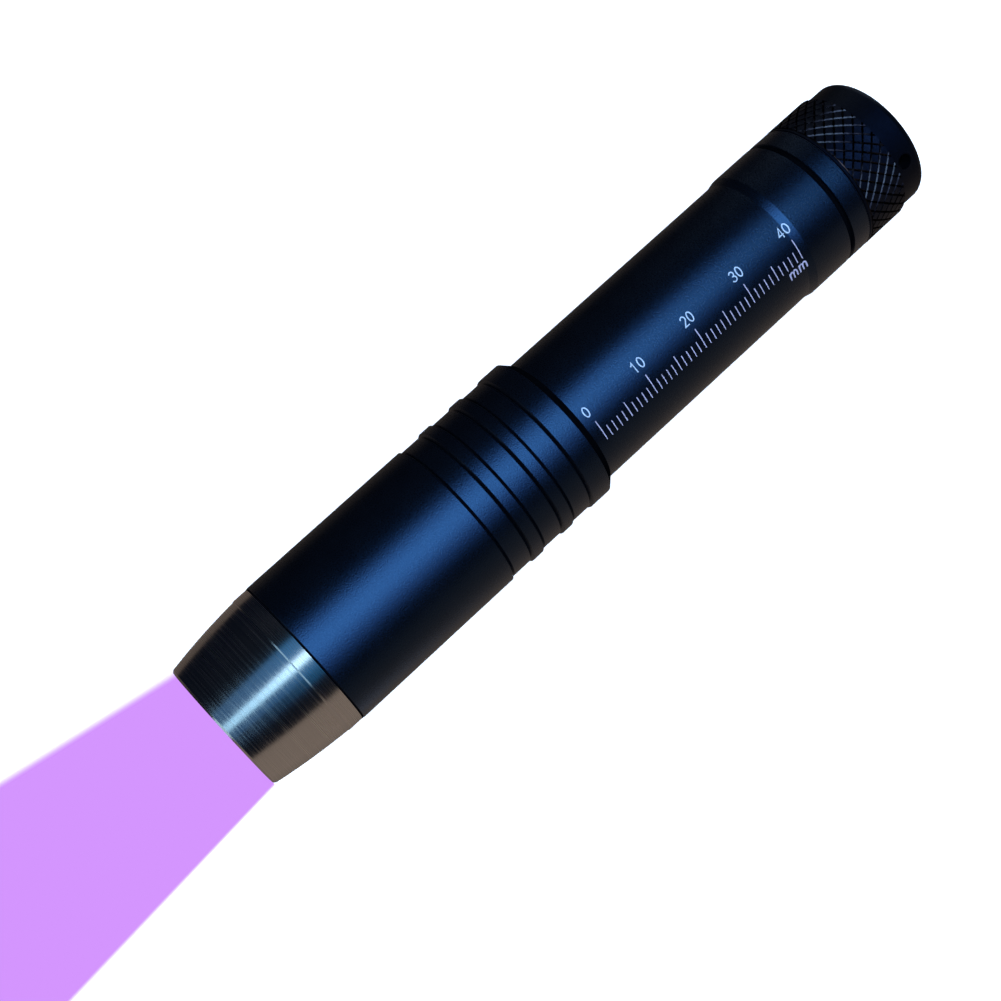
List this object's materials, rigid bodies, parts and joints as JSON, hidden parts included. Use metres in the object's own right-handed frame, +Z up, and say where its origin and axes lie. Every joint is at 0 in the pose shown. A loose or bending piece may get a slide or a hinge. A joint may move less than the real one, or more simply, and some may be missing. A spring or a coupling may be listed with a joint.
{
  "type": "uv curing lamp",
  "caption": "Pocket torch shape: steel bezel, black barrel with grip grooves, battery tube with a printed scale, knurled screw-on tail cap and push switch; cures resin with ultraviolet light.",
  "frame": {"origin": "on the torch's axis at half its length", "axes": "X along the torch, the light leaves towards -X and the tail cap is at +X; +Z up; the scale and the lanyard hole face between +Z and -Y"},
  "size_m": [0.1318, 0.0246, 0.0246],
  "materials": {
    "satin_steel": "satin turned stainless steel with fine circumferential marks",
    "anodised_black": "bead-blasted, black anodised with a blue cast",
    "coated_glass": "polished, with a violet anti-reflection coating",
    "rubber_black": "matte",
    "boot_rubber": "matte moulded silicone",
    "reflector_metal": "polished",
    "led_carrier": "white ceramic",
    "led_lens": "clear silicone dome over a violet emitter",
    "board_white": "white solder mask",
    "board_green": "green solder mask",
    "component_black": "moulded epoxy",
    "solder": "bright tin",
    "brass": "turned",
    "wire_red": "silicone insulation",
    "wire_black": "silicone insulation",
    "spring_steel": "nickel-plated spring wire",
    "nickel_steel": "nickel-plated steel",
    "paper_white": "fibre washer",
    "electrode_roll": "wound foils, as one solid",
    "wrap_violet": "shrink wrap",
    "plastic_white": "moulded",
    "plastic_black": "moulded"
  },
  "bodies": {
    "torch_body": {"bezel": "satin_steel", "lens_gasket": "rubber_black", "lens": "coated_glass", "reflector": "reflector_metal", "led_centring_ring": "plastic_white", "led_package": "led_carrier", "led_dome": "led_lens", "led_board": "board_white", "led_wire_red": "wire_red", "led_wire_black": "wire_black", "led_solder": "solder", "pill": "brass", "driver_board": "board_green", "driver_components": "component_black", "driver_ring": "brass", "driver_spring": "spring_steel", "head_housing": "anodised_black", "head_oring": "rubber_black", "battery_tube": "anodised_black", "cell_can": "nickel_steel", "cell_gasket": "plastic_white", "cell_core": "electrode_roll", "cell_positive_cap": "nickel_steel", "cell_washer": "paper_white", "cell_wrap": "wrap_violet"},
    "tail_module": {"switch_ring": "brass", "switch_board": "board_green", "tail_spring": "spring_steel", "switch_body": "plastic_black"},
    "tail_cap": {"tail_cap": "anodised_black", "tail_oring": "rubber_black", "boot_flange": "boot_rubber", "boot_washer": "plastic_black"},
    "button": {"boot_dome": "boot_rubber", "switch_plunger": "plastic_white"}
  },
  "joints": [
    {"name": "tail_cap_travel", "type": "slide", "parent": "torch_body", "child": "tail_module", "axis": [1, 0, 0], "range_m": [0, 0.006]},
    {"name": "tail_cap_turn", "type": "hinge", "parent": "tail_module", "child": "tail_cap", "pos_m": [0.0575, 0, 0], "axis": [1, 0, 0], "range_deg": [0, 2160]},
    {"name": "button_press", "type": "slide", "parent": "tail_cap", "child": "button", "axis": [-1, 0, 0], "range_m": [0, 0.0015], "stiffness_N_per_m": 400, "springref_m": -0.002}
  ],
  "couplings": [
    {"joint": "tail_cap_turn", "follows": "tail_cap_travel", "rad_per_m": 6283.2}
  ]
}
